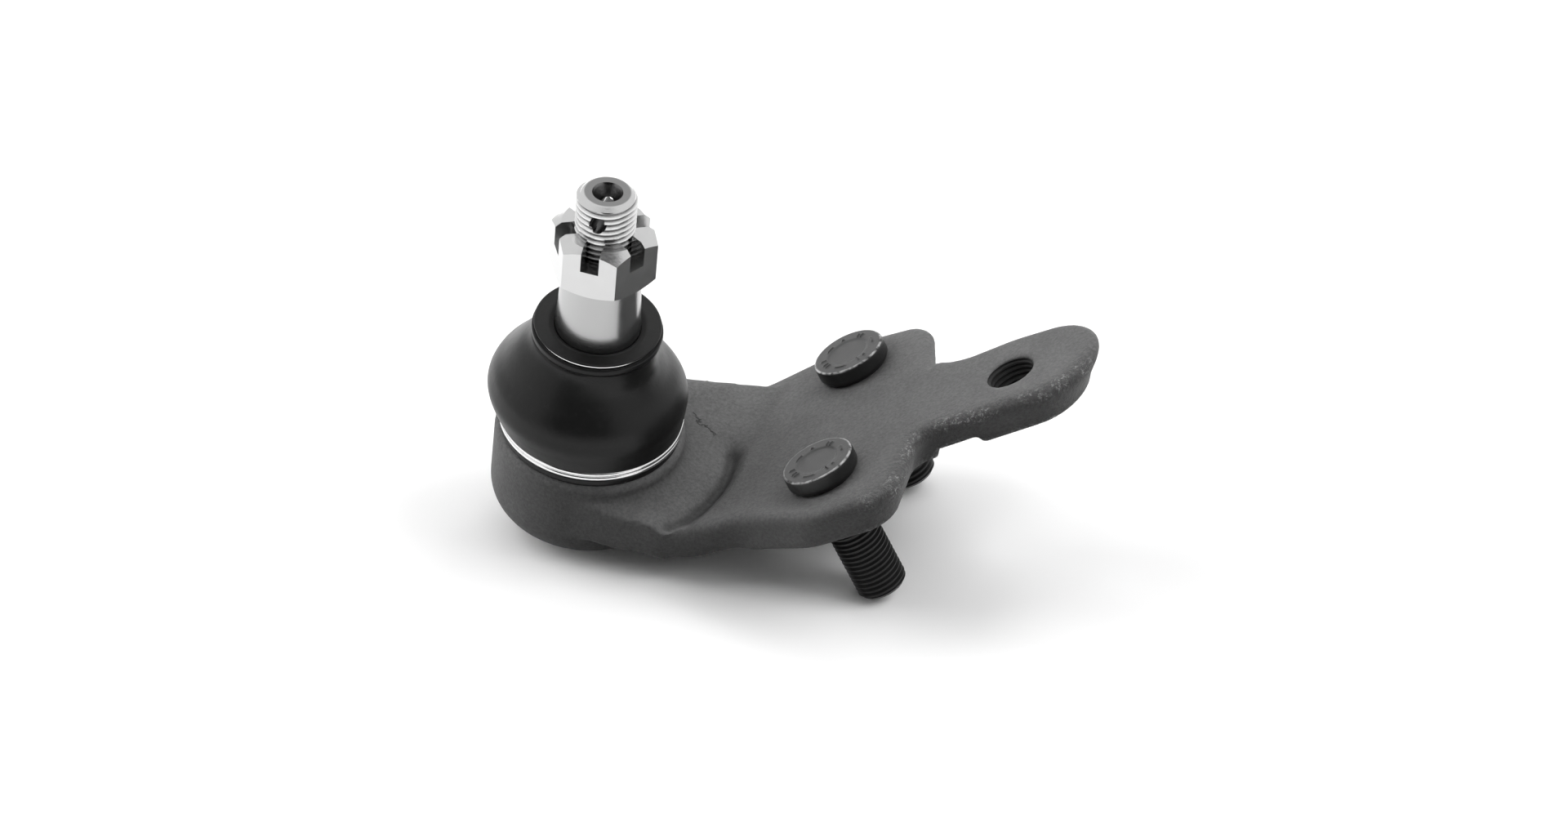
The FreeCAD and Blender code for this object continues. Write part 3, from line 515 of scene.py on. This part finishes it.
def ground_finish(looks):
    """Ground steel: rings round the axis on the taper and the top; thread crests with a painted
    highlight over the nut and painted shade in it, painted shade in the roots, and drillings
    painted dark as shade.
    """
    f = Finish("ground_steel", Metallic=1)
    height, radius = f.mark("height"), f.mark("radius")
    along = f.add("CombineXYZ", X=height * MM, Y=radius * MM * 2)
    lines = f.noise(0.16, 2, 0.7, along)
    cloud = f.noise(6, 3, 0.6)
    hole = f.mark("drilling")
    face = f.mark("face")
    end = f.step(height, STUD_TOP - 1.3, STUD_TOP - 1.1)
    # Painted highlight on the thread's crests and painted shade in its roots.
    crest = f.step(radius + 2 * end, THREAD_CREST - 0.8, THREAD_CREST - 0.05)
    thread = f.step(height, TAPER_TOP, TAPER_TOP + 1) * (1 - face) * (1.4 * crest - 0.5)
    # Painted shade: the thread inside the nut is painted darker.
    shade_in_nut = f.step(height, TAPER_TOP + 0.2, TAPER_TOP + 0.8)
    shade_in_nut = shade_in_nut * f.step(height, NUT_TOP, NUT_TOP - 2)
    shade = looks.ground_grey * (0.93 + 0.1 * cloud) * (1 - 0.1 * face - 0.25 * end)
    shade = shade * (1 + thread) * (1 - 0.6 * shade_in_nut)
    f.set(
        # Painted shade: the walls of the pin hole and the centre drilling are painted dark.
        Base_Color=f.mix(hole, shade, 0.1),
        Roughness=0.16 + 0.1 * lines + 0.05 * cloud + 0.2 * face + 0.12 * hole,
    )
    f.bump((lines, 0.004), (f.noise(0.9, 3), 0.012), (f.noise(0.5, 3, 0.7) * hole, 0.16))
    return f


def plated_finish(looks):
    """Bright zinc plate, slightly uneven."""
    f = Finish("plated_steel", Metallic=1)
    cloud = f.noise(4, 3, 0.6)
    fine = f.noise(0.5, 3, 0.6)
    f.set(
        Base_Color=f.mix(cloud, looks.plate_grey * 0.9, looks.plate_grey),
        Roughness=0.17 + 0.1 * cloud,
    )
    f.bump((cloud, 0.03), (fine, 0.006))
    return f


def wire_finish():
    """Bright drawn wire."""
    f = Finish("bright_wire", Metallic=1)
    fine = f.noise(0.8, 2, 0.6)
    f.set(Base_Color=f.mix(fine, 0.7, 0.86), Roughness=0.12 + 0.08 * fine)
    return f


def rubber_finish(looks):
    """Black rubber with a satin skin, faint clouds and smears, and a few specks of dust."""
    f = Finish("boot_rubber", Specular_IOR_Level=0.25)
    cloud = f.noise(9, 4, 0.6)
    skin = f.noise(0.35, 3, 0.6)
    spots = f.cells(3.2)
    dust = f.step(spots, 0.05, 0.03) * f.step(f.noise(4.5, 1), 0.6, 0.66)
    smear = f.step(f.noise(5, 5, 0.65, distortion=2), 0.55, 0.75)
    f.set(
        Base_Color=f.mix(dust, looks.rubber_grey * (0.8 + 0.5 * cloud + 0.5 * smear), 0.4),
        Roughness=looks.rubber_roughness + 0.12 * cloud + 0.08 * smear,
    )
    f.bump((cloud, 0.12), (skin, 0.012))
    return f


def polymer_finish():
    """Natural seat polymer, greased."""
    f = Finish("seat_polymer")
    f.set(Base_Color=f.mix(f.noise(5, 3), 0.55, 0.68), Roughness=0.3 + 0.2 * f.noise(2, 2))
    f.bump((f.noise(0.6, 2), 0.02))
    return f


def spring_finish():
    """Oil-hardened spring steel."""
    f = Finish("spring_steel", Metallic=0.9)
    cloud = f.noise(3, 3)
    f.set(Base_Color=f.mix(cloud, 0.1, 0.2), Roughness=0.3 + 0.15 * cloud)
    f.bump((f.noise(0.4, 2), 0.01))
    return f


def cover_finish():
    """Pressed cover with a dull phosphate coat."""
    f = Finish("cover_steel", Metallic=0.6)
    cloud, grain = f.noise(6, 4), f.noise(0.4, 3)
    f.set(Base_Color=f.mix(cloud, 0.11, 0.19), Roughness=0.42 + 0.16 * grain)
    f.bump((cloud, 0.03), (grain, 0.02))
    return f


# Shapes


def distance_to_axis(points):
    """Distance of points from their frame's z axis."""
    return np.hypot(points[:, 0], points[:, 1])


def between(values, low, high, soft):
    """1 between two numbers and 0 outside, with a soft change at both."""
    rise = np.clip((values - low) / soft + 0.5, 0, 1)
    fall = np.clip((high - values) / soft + 0.5, 0, 1)
    return rise * fall


def neighbour_mean(values, edges, counts):
    """Mean of each point's neighbours, for one column or several."""
    columns = []
    for column in values.reshape(len(values), -1).T:
        total = np.bincount(edges[:, 0], column[edges[:, 1]], len(values))
        total += np.bincount(edges[:, 1], column[edges[:, 0]], len(values))
        columns.append(total / counts)
    return np.stack(columns, -1).reshape(values.shape)


def mesh_links(mesh):
    """Edges as pairs of points, and the number of edges at each point."""
    edges = np.empty(len(mesh.edges) * 2, int)
    mesh.edges.foreach_get("vertices", edges)
    counts = np.maximum(np.bincount(edges, minlength=len(mesh.vertices)), 1)
    return edges.reshape(-1, 2), counts


def soften_forging(mesh, passes):
    """Rounds edges and creases as forging dies leave them.

    The near half of the shelf rolls off into a groove at its rim. Then each pass moves a point
    most of the way to the mean of its neighbours and about as far back, which smooths without
    shrinking. Machined faces near the socket axis move less. More passes without the way back
    fill the near end of that groove and, up and down only, level its far end and the shelf's
    inner edge. At last the far edges spread, most in the corner between the lobe and the
    tongue, and the foot of the tongue's end draws in.
    """
    points = mesh_points(mesh)
    edges, counts = mesh_links(mesh)
    own = out_of_frame(points, SOCKET, BALL)
    radius, (x, y, z) = distance_to_axis(own), own.T
    angle = np.degrees(np.arctan2(y, x))
    near_half = between(angle, -52, 11, 12) * between(z, -9.5, 3, 1) * (x > 5)
    dip = GROOVE_DEPTH * near_half * np.interp(radius, *ROLL_OFF)
    points -= dip[:, None] * SOCKET[:, 2]
    outside = np.clip((radius - 20.2) / 1.5, 0.08, 1)[:, None]
    for _ in range(passes):
        points += 0.6 * outside * (neighbour_mean(points, edges, counts) - points)
        points -= 0.58 * outside * (neighbour_mean(points, edges, counts) - points)
    valley = between(radius, 29, 47, 6) * (x > 10)
    near_end = valley * np.clip((-y - 20) / 4, 0, 1) * between(z, -20, -1.4, 1.6)
    far_end = valley * np.clip((y - 4) / 9, 0, 1)
    level = far_end + between(radius, 22, 28, 1.5) * (z > -7)
    upright = np.outer(SOCKET[:, 2], SOCKET[:, 2])
    for _ in range(60):
        way = 0.7 * (neighbour_mean(points, edges, counts) - points)
        points += near_end[:, None] * way + level[:, None] * (way @ upright)
    x, y, z = out_of_frame(points, ARM, ARM_ORIGIN).T
    spread = np.interp(x, *FAR_SPREAD) * np.clip(y / 12, 0, 1)
    undercut = TIP_UNDERCUT * np.clip((x - 52) / 10, 0, 1) * np.clip((-z - 1.5) / 6, 0, 1)
    points += spread[:, None] * ARM[:, 1] - undercut[:, None] * ARM[:, 0]
    mesh.vertices.foreach_set("co", (points * MM).ravel())
    mesh.update()


def mark_wear(mesh):
    """Marks how convex (edge) and how hollow the surface is, and the tapped hole's wall; the
    forging paints shade into the hollows and onto that wall.

    The bulge is the part along the normal of the way to the neighbours' mean, smoothed further.
    Rough is where trimming left a ragged band, beside the edges of the near lobe and the tongue.
    """
    points = mesh_points(mesh)
    edges, counts = mesh_links(mesh)
    bend = neighbour_mean(points, edges, counts) - points
    bulge = -(bend * mesh_points(mesh, "normal")).sum(1)
    for _ in range(6):
        bulge = neighbour_mean(bulge, edges, counts)
    own = out_of_frame(points, ARM, ARM_ORIGIN)
    from_hole = np.hypot(own[:, 0] - HOLE_REACH, own[:, 1])
    in_socket = distance_to_axis(out_of_frame(points, SOCKET, BALL)) < 21.5
    trimmed = np.clip((own[:, 0] + 2) / 10, 0, 1) * np.clip((4 - own[:, 1]) / 10, 0, 1)
    edge = np.clip(bulge / 0.05, 0, 1) * (from_hole > 7.2) * ~in_socket * (0.12 + 0.88 * trimmed)
    rough = edge
    for _ in range(25):
        rough = neighbour_mean(rough, edges, counts)
    set_marks(
        mesh,
        edge=edge,
        rough=np.clip(rough * 3, 0, 1),
        crease=np.clip(-bulge / 0.03, 0, 1),
        hole=between(from_hole, -1, 6.2, 0.3) * between(own[:, 2], -9.2, -0.4, 0.3),
    )


def tapped_hole():
    """Cutter for the tapped hole in the tongue: thread between two countersinks."""
    low = -PLATE_THICKNESS - 1
    sink = ((low, low + 1.7, -0.7, 1), (7.1, 5.4, 5.4, 7.1))
    thread = helix(low, 1, 1.25, 6.05, 0.68, ((0,), (9,)), ((0,), (1,)), sink)
    foot = turned(np.array(((0, low), (7.1, low))))
    head = turned(np.array(((7.1, 1), (0, 1))))
    origin = in_frame(np.array((HOLE_REACH, 0, 0)), ARM, ARM_ORIGIN)
    return grid_mesh("tapped_hole", [foot, thread, head], ARM, origin)


def head_strokes(x, y):
    """1 on the raised strokes of a bolt head, which are short arcs and radial bars in a ring."""
    radius, angle = np.hypot(x, y), np.degrees(np.arctan2(y, x)) % 360
    height = np.zeros_like(radius)
    for middle, half, low, high in HEAD_STROKES:
        arc = between(angle, middle - half, middle + half, 2)
        height += between(radius, low, high, 0.25) * arc
    return height


def bolt_mesh(name, side):
    """Round-headed bolt: chamfered tip, thread with run-out, plain part and dished head."""
    tip, start, top = -32.05, -10.4, 4.7
    most = ((tip, tip + 1.2, start), (4.8, 6, 6))
    thread = helix(tip, start, 1.25, 6, 0.72, most, ((start - 1.6, start), (1, 0)))
    point = turned(outline([(0, tip + 0.35, 0), (3.4, tip + 0.3, 0.5), (4.8, tip, 0)], 0.6))
    shank = [(6, start, 0), (6.2, start + 0.2, 0), (6.2, 0.02, 0), (7.7, 0.02, 0.3)]
    head = [(8.68, 1.1, 0.6), (8.68, top, 0.8), (5.1, top, 0.4), (4.75, top - 0.22, 0.3)]
    body = turned(outline(shank + head + [(0, top - 0.22, 0)], 0.24))
    raised = body[..., 2] > top - 0.5
    body[..., 2] += 0.3 * head_strokes(body[..., 0], body[..., 1]) * raised
    origin = in_frame(np.array((0, side, 0)), ARM, ARM_ORIGIN)
    mesh = grid_mesh(name, [point, thread, body], ARM, origin)
    own = out_of_frame(mesh_points(mesh), ARM, origin)
    radius, upper = distance_to_axis(own), own[:, 2] > top - 0.4
    set_marks(
        mesh,
        rim=between(radius, 8.2, 8.6, 0.3) * upper,
        head=between(radius, -1, 8.3, 0.5) * upper,
        stroke=head_strokes(own[:, 0], own[:, 1]) * upper,
    )
    return mesh


def stud_mesh():
    """Ball stud: ball with a flat, neck, taper, thread, chamfered end and centre drilling.

    The ball's profile is its radius times (sin, -cos) of an angle that starts at the flat.
    """
    ball, foot, neck, top = 12.5, -11.4, 6.5, STUD_TOP
    swing = np.linspace(math.acos(-foot / ball), math.pi - math.asin(neck / ball), 60)
    sphere = ball * np.stack([np.sin(swing), -np.cos(swing)], -1)
    lower = outline([(0, foot, 0), (*sphere[0], 0)], 1)
    waist = [
        (*sphere[-1], 0),
        (neck, 14.5, 1.5),
        (10.3, 25, 1.2),
        (9.05, TAPER_TOP, 0.15),
        (THREAD_CREST, TAPER_TOP, 0),
    ]
    shank = turned(np.concatenate([lower, sphere[1:-1], outline(waist, 0.5)]))
    most = ((TAPER_TOP, top - 1.15, top), (THREAD_CREST, THREAD_CREST, 5.45))
    fade = ((TAPER_TOP, TAPER_TOP + 2), (0, 1))
    thread = helix(TAPER_TOP, top, 1.5, THREAD_CREST, 0.9, most, fade)
    drilling = [
        (5.45, top, 0),
        (3.55, top, 0.15),
        (1.9, top - 2.9, 0.5),
        (1.6, top - 7, 0),
        (0, top - 7.5, 0),
    ]
    end = turned(outline(drilling, 0.3))
    return grid_mesh("stud_with_ball", [shank, thread, end], STUD, BALL)


def pin_hole_cutter():
    """Cutter for the split pin hole across the thread."""
    radius, half = PIN_HOLE_RADIUS, 12
    hole = turned(np.array(((0, -half), (radius, -half), (radius, half), (0, half))))
    turn = STUD @ rotation(PIN_TURN, "Z") @ rotation(90, "Y")
    origin = in_frame(np.array((0, 0, PIN_HEIGHT)), STUD, BALL)
    return grid_mesh("pin_hole", [hole], turn, origin)


def mark_stud(mesh):
    """Marks height, radius, the end face, and the walls of both drillings."""
    own = out_of_frame(mesh_points(mesh), STUD, BALL)
    radius, height = distance_to_axis(own), own[:, 2]
    across = out_of_frame(own, rotation(PIN_TURN, "Z"), (0, 0, PIN_HEIGHT))
    pin_hole = np.hypot(across[:, 1], across[:, 2]) < PIN_HOLE_RADIUS + 0.03
    pin_hole &= (radius > 1.8) & (radius < THREAD_CREST - 0.3)
    centre = between(radius, -1, 3.3, 0.3) * (height > 60)
    set_marks(
        mesh,
        height=height,
        radius=radius,
        face=(height > STUD_TOP - 0.05) & (radius < 5.4),
        drilling=np.maximum(0.65 * centre, pin_hole),
    )


def boot_mesh():
    """Rubber boot as one closed wall. Each point of its profile has its own centre, so it leans.

    The profile runs up the outside of the cuff, the bellows and the lip, over the lip's face to
    the taper and back down the inside.
    """
    cuff = outline(
        [
            (17.7, 4.1, 0, 0, 0),
            (20.9, 4.1, 0, 0, 0.3),
            (20.9, 5.6, 0, 0, 0.3),
            (20.25, 5.85, 0, 0, 0.1),
            (20.25, 8.3, 0, 0, 0.3),
            (21.4, 8.2, -0.3, 0.2, 0),
        ],
        0.5,
    )
    lip, face = LIP_CENTRE, LIP_HEIGHT
    lip_path = outline(
        [
            (14.5, 30.6, *lip, 0),
            (15.15, face - 2.6, *lip, 0.3),
            (15.1, face - 1.5, *lip, 0.3),
            (13.5, face - 1.4, *lip, 0.1),
            (13.5, face - 0.6, *lip, 0.1),
            (14.55, face - 0.6, *lip, 0.1),
            (14.75, face - 0.25, *lip, 0.2),
            (14.4, face, *lip, 0.2),
            (11.3, face, *lip, 0.4),
            (9.95, face - 0.75, *lip, 0.12),
            (9.95, face - 1.4, *lip, 0.1),
            (12.6, face - 2, *lip, 0.5),
            (12.7, face - 3.6, *lip, 0),
        ],
        0.3,
    )
    outside = smooth_curve(np.array(BELLOWS), 8)
    inside = outside[::-1] - (BOOT_WALL, 0, 0, 0)
    inside = inside[inside[:, 1] < face - 4.4]
    inner_cuff = outline([(*inside[-1], 0), (17.7, 8.3, 0, 0, 0.3), (17.7, 4.1, 0, 0, 0)], 0.5)
    profile = np.concatenate([cuff, outside[1:-1], lip_path, inside[:-1], inner_cuff])
    return grid_mesh("rubber_boot", [turned(profile)], SOCKET, BALL)


def lip_ring_mesh():
    """Wire ring in the groove under the boot's lip: a circle swept about the lip's centre."""
    swing = np.linspace(0, FULL_TURN, 17)
    wire = 0.37 * np.stack([np.sin(swing), np.cos(swing)], -1) + (13.95, LIP_HEIGHT - 1)
    profile = np.concatenate([wire, np.tile(LIP_CENTRE, (17, 1))], 1)
    return grid_mesh("lip_ring", [turned(profile)], SOCKET, BALL)


# Operators, settings and panel


class JointLooks(bpy.types.PropertyGroup):
    """Sizes and shades that a user would change."""

    voxel: FloatProperty(
        name="Forging grid",
        description="Grid on which the forging's skin is made",
        default=0.0006,
        min=0.0003,
        unit="LENGTH",
    )
    passes: IntProperty(
        name="Forging softness",
        description="Passes that round the forging's edges and creases",
        default=16,
        min=0,
    )
    forging_grey: FloatProperty(
        name="Forging shade", description="Brightness of the phosphated forging", default=0.1
    )
    bolt_grey: FloatProperty(
        name="Bolt shade", description="Brightness of the black bolts", default=0.08
    )
    ground_grey: FloatProperty(
        name="Ground steel shade", description="Brightness of the stud's metal", default=0.43
    )
    plate_grey: FloatProperty(
        name="Plating shade", description="Brightness of the castle nut", default=0.63
    )
    rubber_grey: FloatProperty(
        name="Rubber shade", description="Brightness of the dust boot", default=0.007
    )
    rubber_roughness: FloatProperty(
        name="Rubber roughness", description="Roughness of the boot's skin", default=0.29
    )
    floor_grey: FloatProperty(
        name="Floor shade", description="Brightness of the floor", default=0.9
    )
    floor_bounce: FloatProperty(
        name="Floor bounce", description="Share of light that the floor sends back", default=0.2
    )
    light_level: FloatProperty(
        name="Light level", description="Strength of all lamps", default=1, min=0
    )
    lamp_colour: FloatVectorProperty(
        name="Lamp colour", description="Colour of all lamps", default=(1, 1, 1), subtype="COLOR"
    )


class BALLJOINT_OT_forging(bpy.types.Operator):
    """Forged housing and arm with softened edges and its tapped hole"""

    bl_idname = "balljoint.forging"
    bl_label = "Forged housing"

    def execute(self, context):
        looks = context.scene.ball_joint
        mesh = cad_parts["forged_housing"].data.copy()
        weld(mesh)
        piece = link("housing_forging", mesh)
        skin = piece.modifiers.new("skin", "REMESH")
        skin.mode = "VOXEL"
        skin.voxel_size = looks.voxel
        soften_forging(apply_modifiers(piece), looks.passes)
        cut(piece, tapped_hole())
        mark_wear(piece.data)
        smooth_shading(piece.data, 50)
        dress(piece, forged_finish(looks))
        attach(piece, "housing")
        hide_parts("forged_housing")
        return {"FINISHED"}


class BALLJOINT_OT_bolts(bpy.types.Operator):
    """Both threaded bolts of the arm"""

    bl_idname = "balljoint.bolts"
    bl_label = "Arm bolts"

    def execute(self, context):
        finish = bolt_finish(context.scene.ball_joint)
        for node, side in BOLT_SIDES.items():
            piece = link(f"threaded_{node}", bolt_mesh(node, side))
            smooth_shading(piece.data, 40)
            dress(piece, finish)
            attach(piece, "housing")
            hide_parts(node)
        return {"FINISHED"}


class BALLJOINT_OT_stud(bpy.types.Operator):
    """Ball stud with its thread and split pin hole"""

    bl_idname = "balljoint.stud"
    bl_label = "Ball stud"

    def execute(self, context):
        piece = link("threaded_ball_stud", stud_mesh())
        cut(piece, pin_hole_cutter())
        mark_stud(piece.data)
        smooth_shading(piece.data, 40)
        dress(piece, ground_finish(context.scene.ball_joint))
        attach(piece, "stud")
        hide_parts("ball_stud")
        return {"FINISHED"}


class BALLJOINT_OT_boot(bpy.types.Operator):
    """Rubber boot"""

    bl_idname = "balljoint.boot"
    bl_label = "Dust boot"

    def execute(self, context):
        piece = link("rubber_dust_boot", boot_mesh())
        smooth_shading(piece.data, 40)
        dress(piece, rubber_finish(context.scene.ball_joint))
        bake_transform(piece)
        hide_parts("dust_boot")
        return {"FINISHED"}


class BALLJOINT_OT_solids(bpy.types.Operator):
    """Ring under the boot's lip, and materials of the other pieces, which stay solids"""

    bl_idname = "balljoint.solids"
    bl_label = "Nut, rings, seats, spring and cover"

    def execute(self, context):
        wire, seat = wire_finish(), polymer_finish()
        ring = link("sunk_lip_ring", lip_ring_mesh())
        smooth_shading(ring.data, 60)
        dress(ring, wire)
        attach(ring, "boot_collar")
        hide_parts("boot_lip_ring")
        dress_node("boot_clamp_ring", wire)
        dress_node("castle_nut", plated_finish(context.scene.ball_joint))
        dress_node("upper_ball_seat", seat)
        dress_node("lower_ball_seat", seat)
        dress_node("preload_spring", spring_finish())
        dress_node("bottom_cover", cover_finish())
        return {"FINISHED"}


def plane(name, centre, facing, width, height):
    """A flat sheet round a centre, square to the line towards a point."""
    turn = (Vector(facing) - Vector(centre)).to_track_quat("Z", "Y").to_matrix().to_4x4()
    corners = np.array(((-1, -1, 0), (1, -1, 0), (1, 1, 0), (-1, 1, 0))) * (width, height, 0) / 2
    mesh = bpy.data.meshes.new(name)
    mesh.from_pydata(corners.tolist(), [], [(0, 1, 2, 3)])
    mesh.transform(Matrix.Translation(centre) @ turn)
    piece = link(name, mesh)
    return piece


def floor_finish(looks):
    """Pale floor. To camera and mirror rays it glows away from the joint, so that it is white."""
    f = Finish("pale_floor", Roughness=1)
    away = f.add("VectorMath", {"operation": "LENGTH"}, "Value", Vector=f.place)
    seen = f.add("LightPath", output="Is Camera Ray") + f.add("LightPath", output="Is Glossy Ray")
    f.set(Base_Color=f.mix(seen, looks.floor_bounce, looks.floor_grey), Specular_IOR_Level=0)
    glow = f.add("Emission", Strength=seen * (0.02 + f.step(away, 0.1, 0.5)))
    both = f.add("AddShader")
    node = both.socket.node
    f.tree.links.new(f.shader.outputs[0], node.inputs[0])
    glow.put(node.inputs[1])
    both.put(f.tree.nodes["Material Output"].inputs["Surface"])
    return f


def card_finish():
    """Dark card, which steel and rubber mirror as the dark side of a studio."""
    return Finish("dark_card", Base_Color=grey(0.02), Roughness=1, Specular_IOR_Level=0)


def lamp(looks, round_z, up, power):
    """A soft square lamp that looks at the joint and doesn't show in its mirrors."""
    light = bpy.data.lights.new(f"lamp_{round_z}_{up}", "AREA")
    light.shape = "SQUARE"
    light.size = LAMP_SIZE
    light.energy = power * looks.light_level
    light.color = looks.lamp_colour
    piece = link(light.name, light)
    way = Vector(rotation(round_z, "Z") @ rotation(-up, "Y") @ (1, 0, 0))
    turn = way.to_track_quat("Z", "Y").to_matrix().to_4x4()
    piece.matrix_world = Matrix.Translation(way * LAMP_DISTANCE) @ turn
    piece.visible_glossy = False


def set_world():
    """World that is white to the camera and in mirrors, and gives no light of its own."""
    world = bpy.data.worlds.new("studio")
    world.use_nodes = True
    tree = world.node_tree
    path = tree.nodes.new("ShaderNodeLightPath")
    seen = Value(tree, path.outputs["Is Camera Ray"]) + Value(tree, path.outputs["Is Glossy Ray"])
    seen = seen + Value(tree, path.outputs["Is Transmission Ray"])
    background = tree.nodes["Background"]
    background.inputs["Color"].default_value = (1, 1, 1, 1)
    plug(background.inputs["Strength"], seen)
    bpy.context.scene.world = world


class BALLJOINT_OT_stage(bpy.types.Operator):
    """Floor, lamps, world and camera"""

    bl_idname = "balljoint.stage"
    bl_label = "Stage"

    def execute(self, context):
        looks = context.scene.ball_joint
        floor = plane("floor", (0, 0, 0), (0, 0, 1), FLOOR_SIDE, FLOOR_SIDE)
        floor.data.materials.append(floor_finish(looks).material)
        card = plane("front_card", CARD_CENTRE, (0, 0, 0.05), *CARD_SIZE)
        card.data.materials.append(card_finish().material)
        card.visible_camera = False
        card.visible_diffuse = False
        card.visible_shadow = False
        card.visible_transmission = False
        for place in LAMPS:
            lamp(looks, *place)
        set_world()
        camera = bpy.data.cameras.new("photo_camera")
        camera.sensor_width = 36
        camera.lens = CAMERA_LENS
        view = link("photo_camera", camera)
        forward = Vector(CAMERA_WAY).normalized()
        right = forward.cross(Vector((0, 0, 1))).normalized()
        turn = Matrix((right, right.cross(forward), -forward)).transposed().to_4x4()
        view.matrix_world = Matrix.Translation(CAMERA_PLACE) @ turn
        context.scene.camera = view
        context.scene.view_settings.view_transform = "Standard"
        return {"FINISHED"}


STEPS = (
    BALLJOINT_OT_forging,
    BALLJOINT_OT_bolts,
    BALLJOINT_OT_stud,
    BALLJOINT_OT_boot,
    BALLJOINT_OT_solids,
    BALLJOINT_OT_stage,
)


class BALLJOINT_PT_panel(bpy.types.Panel):
    """Lists the settings and the steps in order."""

    bl_idname = "BALLJOINT_PT_panel"
    bl_label = "Ball joint"
    bl_space_type = "VIEW_3D"
    bl_region_type = "UI"
    bl_category = "Ball joint"

    def draw(self, context):
        looks = context.scene.ball_joint
        for name in JointLooks.__annotations__:
            self.layout.prop(looks, name)
        for step in STEPS:
            self.layout.operator(step.bl_idname)


CLASSES = (JointLooks, *STEPS, BALLJOINT_PT_panel)


def register():
    """Adds the settings, operators and panel."""
    for item in CLASSES:
        bpy.utils.register_class(item)
    bpy.types.Scene.ball_joint = PointerProperty(type=JointLooks)


def unregister():
    """Removes them again."""
    del bpy.types.Scene.ball_joint
    for item in reversed(CLASSES):
        bpy.utils.unregister_class(item)


def main():
    """Makes every piece and the stage."""
    register()
    bpy.ops.balljoint.forging()
    bpy.ops.balljoint.bolts()
    bpy.ops.balljoint.stud()
    bpy.ops.balljoint.boot()
    bpy.ops.balljoint.solids()
    bpy.ops.balljoint.stage()


if __name__ == "__main__":
    main()
